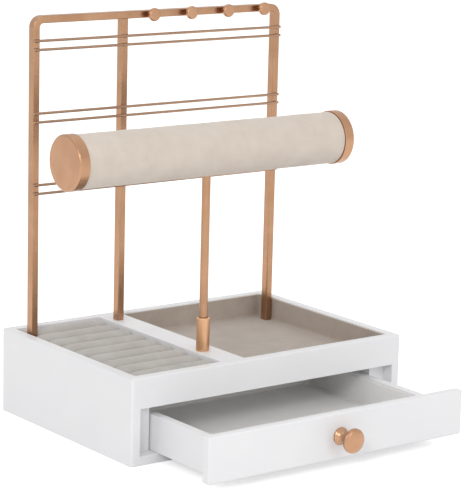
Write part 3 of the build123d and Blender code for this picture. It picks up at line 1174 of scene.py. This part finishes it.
# ------------------------------------------------------------------ bracelet bar
@dataclass
class BraceletBar(Assembly):
    """The round post with its ferrule, and the velvet roll between two metal caps."""

    cap_facets: int = 72
    cap_edge: float = 1.2 * MM
    cap_seat_round: float = 0.5 * MM
    broken_edge: float = 0.35 * MM
    core_wall: float = 2.0 * MM
    sleeve_facets: int = 72
    sleeve_slices: int = 44
    sleeve_slack: float = 0.2 * MM
    sleeve_wave: float = 0.25 * MM
    sleeve_wave_scale: float = 60.0
    sleeve_wave_shift: tuple[float, float, float] = (5.1, 1.7, 3.3)
    sleeve_edge: float = 1.1 * MM
    sleeve_fullness: float = 0.9
    ferrule_facets: int = 56
    ferrule_chamfer: float = 0.9 * MM
    ferrule_lip: float = 0.9 * MM
    ferrule_sink: float = 0.7 * MM
    ferrule_gap: float = 0.05 * MM
    post_facets: int = 40
    post_end_round: float = 0.4 * MM
    post_gap: float = 0.15 * MM

    def build(self) -> None:
        """Make the ferrule, the post, the roll and its caps."""
        self.ferrule()
        self.post()
        self.roll()
        self.cap("left_end_cap", -1)
        self.cap("right_end_cap", 1)
        self.dress(self.finishes.card, "bar_core_tube")

    def ferrule(self) -> None:
        """Make the ferrule: a sleeve with a broken top edge and a thin lip round the post."""
        space, post = Extent.of("post_ferrule"), Extent.of("bar_post")
        base = Vector((space.middle.x, space.middle.y, space.low.z))
        up = Vector((0, 0, 1))
        outer, inner, tall = space.size.x / 2, post.size.x / 2 + self.ferrule_gap, space.size.z
        lip, shoulder = inner + self.ferrule_lip, tall - self.ferrule_chamfer
        narrow, sunk = outer - self.ferrule_chamfer, tall - self.ferrule_sink
        profile = [(inner, 0), (outer, 0), (outer, shoulder), (narrow, tall), (lip, tall), (lip, sunk),
                   (inner, sunk), (inner, 0)]
        bm = Workshop.turned(profile, base, up, Vector((1, 0, 0)), self.ferrule_facets)
        edges = [(outer, 0), (outer, shoulder), (narrow, tall)]
        Workshop.round_rings(bm, base, up, edges, self.broken_edge)
        # The collar wears the lighter copy of the rose gold, which is painted light.
        self.piece("post_ferrule_turned", bm, self.finishes.front_lit_ferrule_gold, Slot.METAL, ["post_ferrule"])

    def post(self) -> None:
        """Make the round post."""
        space = Extent.of("bar_post")
        upright = Matrix.Translation(space.middle)
        bm = Workshop.rod(upright, space.size.x / 2, space.size.z, self.post_facets)
        ends = Workshop.edges_where(bm, lambda middle, way: abs(way.z) < ACROSS)
        Workshop.round_edges(bm, ends, self.post_end_round, 2)
        self.piece("bar_post_round", bm, self.finishes.bar_gold, Slot.METAL, ["bar_post"])

    def roll(self) -> None:
        """Make the padded velvet sleeve between the caps."""
        space, core = Extent.of("bar_velvet_cover"), Extent.of("bar_core_tube")
        outer, inner = space.size.z / 2, core.size.z / 2
        start = Vector((space.low.x, space.middle.y, space.middle.z))
        along = Vector((1, 0, 0))
        length = space.size.x
        slack = outer - self.sleeve_slack
        profile = [(inner, 0), (slack, 0), (slack, length), (inner, length), (inner, 0)]
        bm = Workshop.turned(profile, start, along, Vector((0, 0, 1)), self.sleeve_facets)
        Workshop.round_rings(bm, start, along, [(slack, 0.0), (slack, length)], self.sleeve_edge, 4)
        for index in range(1, self.sleeve_slices):
            Workshop.slice(bm, start + along * (length * index / self.sleeve_slices), along)
        for vert in bm.verts:
            radial = Vector((0, vert.co.y - start.y, vert.co.z - start.z))
            if radial.length > (outer + inner) / 2:
                spot = vert.co * self.sleeve_wave_scale + Vector(self.sleeve_wave_shift)
                vert.co += radial.normalized() * (self.sleeve_wave * noise.noise(spot))
        post = Extent.of("bar_post")
        hole = Matrix.Translation((post.middle.x, post.middle.y, start.z - outer))
        bm = Workshop.cut_out(
            bm, Workshop.rod(hole, post.size.x / 2 + self.post_gap, outer, self.post_facets))
        thing = self.piece("bracelet_roll_velvet", bm, self.finishes.roll_velvet, Slot.ROLL_VELVET,
                           ["bar_velvet_cover"], crease=70.0, weighted=False)

    def cap(self, node: str, side: int) -> None:
        """Make one end cap with its hidden spigot.

        Args:
            node: Node of the part that it stands for.
            side: -1 for the left end, 1 for the right.
        """
        space, core, cover = Extent.of(node), Extent.of("bar_core_tube"), Extent.of("bar_velvet_cover")
        out = Vector((side, 0, 0))
        seat = Vector((cover.high.x if side > 0 else cover.low.x, space.middle.y, space.middle.z))
        thick = (space.high.x - seat.x) if side > 0 else (seat.x - space.low.x)
        lip = space.size.x - thick
        radius, spigot = space.size.z / 2, core.size.z / 2 - self.core_wall
        face = radius - self.cap_edge
        profile = [(0, -lip), (spigot, -lip), (spigot, 0), (radius, 0), (radius, thick - self.cap_edge),
                   (face, thick), (face / 2, thick), (0, thick)]
        bm = Workshop.turned(profile, seat, out, Vector((0, 0, 1)), self.cap_facets)
        Workshop.round_rings(bm, seat, out, [(radius, 0)], self.cap_seat_round)
        edges = [(radius, thick - self.cap_edge), (face, thick)]
        Workshop.round_rings(bm, seat, out, edges, self.broken_edge)
        self.piece(f"{node}_turned", bm, self.finishes.satin_gold, Slot.METAL, [node])


# ------------------------------------------------------------------ drawer
@dataclass
class Drawer(VelvetLinings):
    """The drawer: lacquered boards, a grey velvet insert and a turned knob."""

    body: Body = Body.DRAWER
    front_round: float = 1.5 * MM
    rear_round: float = 0.5 * MM
    sheet: float = 1.2 * MM
    corner: float = 1.5 * MM
    pad_margin: float = 8.0 * MM
    pad_gap: float = 0.4 * MM
    pad_thickness: float = 1.6 * MM
    pad_edge_share: float = 0.7
    knob_facets: int = 48
    knob_flange: float = 7.5 * MM
    knob_neck: float = 3.8 * MM
    knob_thread: float = 2.0 * MM
    knob_thread_length: float = 9.0 * MM
    knob_crown: float = 1.6 * MM
    knob_rim: float = 2.4 * MM
    knob_flange_edge: float = 0.35 * MM

    def build(self) -> None:
        """Make the front, the insert and the knob, and dress the boards behind."""
        self.front()
        # The insert's velvet is lifted towards white as painted light inside the bay.
        self.insert("drawer_velvet_insert", "drawer_liner", self.sheet, self.corner,
                    self.finishes.drawer_velvet, Slot.DRAWER_VELVET)
        self.floor_pad()
        self.knob()
        self.dress(self.finishes.lacquer, "drawer_left_side", "drawer_right_side", "drawer_back",
                   "drawer_bottom")
        self.dress(self.finishes.zinc, "knob_screw")

    def front(self) -> None:
        """Make the drawer front with softened edges."""
        space = Extent.of("drawer_front")
        bm = Workshop.block(space)
        face = Workshop.edges_where(
            bm, lambda m, w: m.y < space.low.y + NEAR or abs(w.y) > ALONG)
        Workshop.round_edges(bm, face, self.front_round, 4)
        back = Workshop.edges_where(bm, lambda m, w: m.y > space.high.y - NEAR)
        Workshop.round_edges(bm, back, self.rear_round, 2)
        self.piece("drawer_front_board", bm, self.finishes.lacquer, Slot.LACQUER, ["drawer_front"])

    def floor_pad(self) -> None:
        """Make the velvet pad that lies on the insert's floor, short of its left and right walls."""
        liner = Extent.of("drawer_liner")
        side = self.sheet + self.pad_margin
        front = self.sheet + self.pad_gap
        floor = liner.low.z + self.sheet
        space = Extent(Vector((liner.low.x + side, liner.low.y + front, floor)),
                       Vector((liner.high.x - side, liner.high.y - front, floor + self.pad_thickness)))
        bm = Workshop.block(space)
        rims = Workshop.edges_where(bm, lambda m, w: m.z > space.high.z - NEAR)
        Workshop.round_edges(bm, rims, self.pad_thickness * self.pad_edge_share, 4)
        # The pad shares the drawer velvet, lifted towards white as painted light.
        self.piece("drawer_floor_pad", bm, self.finishes.drawer_velvet, Slot.DRAWER_VELVET)

    def knob(self) -> None:
        """Turn the knob: a thin flange, a waisted neck and a crowned head."""
        space, board = Extent.of("drawer_knob"), Extent.of("drawer_front")
        out = Vector((0, -1, 0))
        base = Vector((space.middle.x, board.low.y, space.middle.z))
        length, head = board.low.y - space.low.y, space.size.x / 2
        flange, neck, thread, crown = self.knob_flange, self.knob_neck, self.knob_thread, self.knob_crown
        rim = length - crown
        shank = [(0, -self.knob_thread_length), (thread, -self.knob_thread_length), (thread, 0)]
        foot = [(flange, 0), (flange, length * 0.06), (flange * 0.84, length * 0.12)]
        waist = [(neck * 1.18, length * 0.2), (neck, length * 0.31), (neck, length * 0.52),
                 (neck * 1.2, length * 0.64)]
        underside = [(head * 0.62, length * 0.725), (head * 0.9, length * 0.765)]
        edge = [(head, rim - self.knob_rim), (head, rim - self.knob_rim / 3), (head * 0.955, rim)]
        dome = [(head * 0.75, rim + crown * 0.42), (head * 0.4, rim + crown * 0.84), (0, length)]
        bm = Workshop.turned([*shank, *foot, *waist, *underside, *edge, *dome], base, out,
                             Vector((1, 0, 0)), self.knob_facets)
        Workshop.round_rings(bm, base, out, [foot[1]], self.knob_flange_edge)
        thing = self.piece("drawer_knob_turned", bm, self.finishes.satin_gold, Slot.METAL, ["drawer_knob"],
                           crease=75.0, weighted=False)
        LOG.info("%s stands %.1f mm proud", thing.name, length / MM)


@dataclass
class Fixings(Assembly):
    """The screws that hold the posts, hidden under the deck."""

    def build(self) -> None:
        """Dress the screws."""
        self.dress(self.finishes.zinc, "left_leg_screw", "right_leg_screw", "middle_post_screw",
                   "bar_post_screw")


# ------------------------------------------------------------------ studio
@dataclass(frozen=True)
class Viewpoint:
    """The camera: where it stands and how it is turned, in degrees and metres."""

    azimuth: float = -37.23
    elevation: float = 12.004
    roll: float = 1.474
    place: tuple[float, float, float] = (-1.16096, -1.57164, 0.56501)
    focal_share: float = 2263.74 / 500
    sensor: float = 36.0
    reach: float = 50.0

    def set_up(self) -> None:
        """Make the camera and use it."""
        azimuth, elevation, roll = (math.radians(v) for v in (self.azimuth, self.elevation, self.roll))
        back = Vector((math.sin(azimuth) * math.cos(elevation),
                       -math.cos(azimuth) * math.cos(elevation), math.sin(elevation)))
        level = Vector((math.cos(azimuth), math.sin(azimuth), 0))
        rise = back.cross(level)
        right = level * math.cos(roll) + rise * math.sin(roll)
        up = rise * math.cos(roll) - level * math.sin(roll)
        data = bpy.data.cameras.new("view")
        data.sensor_width = self.sensor
        data.lens = self.sensor * self.focal_share
        data.clip_end = self.reach
        camera = bpy.data.objects.new("view", data)
        turn = Matrix((right, up, back)).transposed().to_4x4()
        camera.matrix_world = Matrix.Translation(self.place) @ turn
        bpy.context.scene.collection.objects.link(camera)
        bpy.context.scene.camera = camera


@dataclass(frozen=True)
class Softbox:
    """One soft lamp."""

    name: str
    place: tuple[float, float, float]
    size: float
    power: float
    aim: tuple[float, float, float] = (0.0, -0.05, 0.12)

    def hang(self) -> None:
        """Make the lamp and aim it."""
        data = bpy.data.lights.new(self.name, "AREA")
        data.shape = "DISK"
        data.size = self.size
        data.energy = self.power
        lamp = bpy.data.objects.new(self.name, data)
        lamp.location = self.place
        lamp.rotation_euler = (Vector(self.aim) - Vector(self.place)).to_track_quat("-Z", "Y").to_euler()
        bpy.context.scene.collection.objects.link(lamp)


@dataclass
class Studio:
    """A white floor and surroundings, soft lamps and the camera."""

    floor_size: float = 12.0
    floor_drop: float = 0.15 * MM
    floor_tone: tuple[float, float, float] = (0.90, 0.90, 0.90)
    floor_cloud_tone: tuple[float, float, float] = (0.91, 0.91, 0.91)
    floor_cloud: float = 30.0
    floor_roughness: float = 0.9
    surround: float = 0.78
    floor_lift: float = 0.5
    lamps: tuple[Softbox, ...] = (Softbox("key", (-1.55, -1.35, 1.15), 0.55, 9.6),
                                  Softbox("fill", (0.3, -2.2, 0.7), 0.9, 4.4),
                                  Softbox("top", (0.1, 0.3, 2.0), 1.2, 3.0))

    def build(self) -> None:
        """Set up everything round the object."""
        Viewpoint().set_up()
        self.sky()
        self.floor()
        for lamp in self.lamps:
            lamp.hang()
        bpy.context.scene.view_settings.view_transform = "Standard"

    @staticmethod
    def seen_share(tree: bpy.types.NodeTree) -> bpy.types.NodeSocket:
        """A value that is 1 for camera, glossy and transmission rays.

        Args:
            tree: Node tree to add to.

        Returns:
            The value's socket.
        """
        path = tree.nodes.new("ShaderNodeLightPath")
        total = path.outputs["Is Camera Ray"]
        for name in ("Is Glossy Ray", "Is Transmission Ray"):
            node = tree.nodes.new("ShaderNodeMath")
            node.operation = "MAXIMUM"
            tree.links.new(total, node.inputs[0])
            tree.links.new(path.outputs[name], node.inputs[1])
            total = node.outputs[0]
        return total

    def sky(self) -> None:
        """A plain white surround that lights the object more weakly than it shows."""
        world = bpy.data.worlds.new("surround")
        bpy.context.scene.world = world
        world.use_nodes = True
        tree = world.node_tree
        tree.nodes.clear()
        shares = tree.nodes.new("ShaderNodeMixShader")
        tree.links.new(self.seen_share(tree), shares.inputs["Fac"])
        for index, strength in ((1, self.surround), (2, 1.0)):
            light = tree.nodes.new("ShaderNodeBackground")
            light.inputs["Color"].default_value = (1.0, 1.0, 1.0, 1.0)
            light.inputs["Strength"].default_value = strength
            tree.links.new(light.outputs[0], shares.inputs[index])
        tree.links.new(shares.outputs[0], tree.nodes.new("ShaderNodeOutputWorld").inputs["Surface"])

    def floor(self) -> None:
        """A pale floor that keeps the object's shadow."""
        bm = bmesh.new()
        bmesh.ops.create_grid(bm, x_segments=2, y_segments=2, size=self.floor_size / 2,
                              matrix=Matrix.Translation((0, 0, -self.floor_drop)))
        mesh = bpy.data.meshes.new("floor")
        bm.to_mesh(mesh)
        bm.free()
        sketch = NodeSketch("floor_paper")
        shader = sketch.shader
        shader.inputs["Roughness"].default_value = self.floor_roughness
        shader.inputs["Specular IOR Level"].default_value = 0.0
        sketch.link(sketch.blended(sketch.grain(self.floor_cloud), self.floor_tone, self.floor_cloud_tone),
                    shader.inputs["Base Color"])
        glow = sketch.tree.nodes.new("ShaderNodeMath")
        glow.operation = "MULTIPLY"
        glow.inputs[1].default_value = self.floor_lift
        sketch.link(self.seen_share(sketch.tree), glow.inputs[0])
        sketch.link(glow.outputs[0], shader.inputs["Emission Strength"])
        shader.inputs["Emission Color"].default_value = (1.0, 1.0, 1.0, 1.0)
        mesh.materials.append(sketch.material)
        ground = bpy.data.objects.new("floor", mesh)
        bpy.context.scene.collection.objects.link(ground)


def main() -> None:
    """Build the stand piece by piece, then the studio."""
    logging.basicConfig(level=logging.INFO, format="%(message)s")
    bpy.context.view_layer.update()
    finishes = Finishes()
    for part in (LacqueredBox, RingCushions, OpenTray, HangingFrame, BraceletBar, Drawer, Fixings):
        part(finishes).build()
        LOG.info("%s is built", part.__name__)
    Studio().build()


if __name__ == "__main__":
    main()
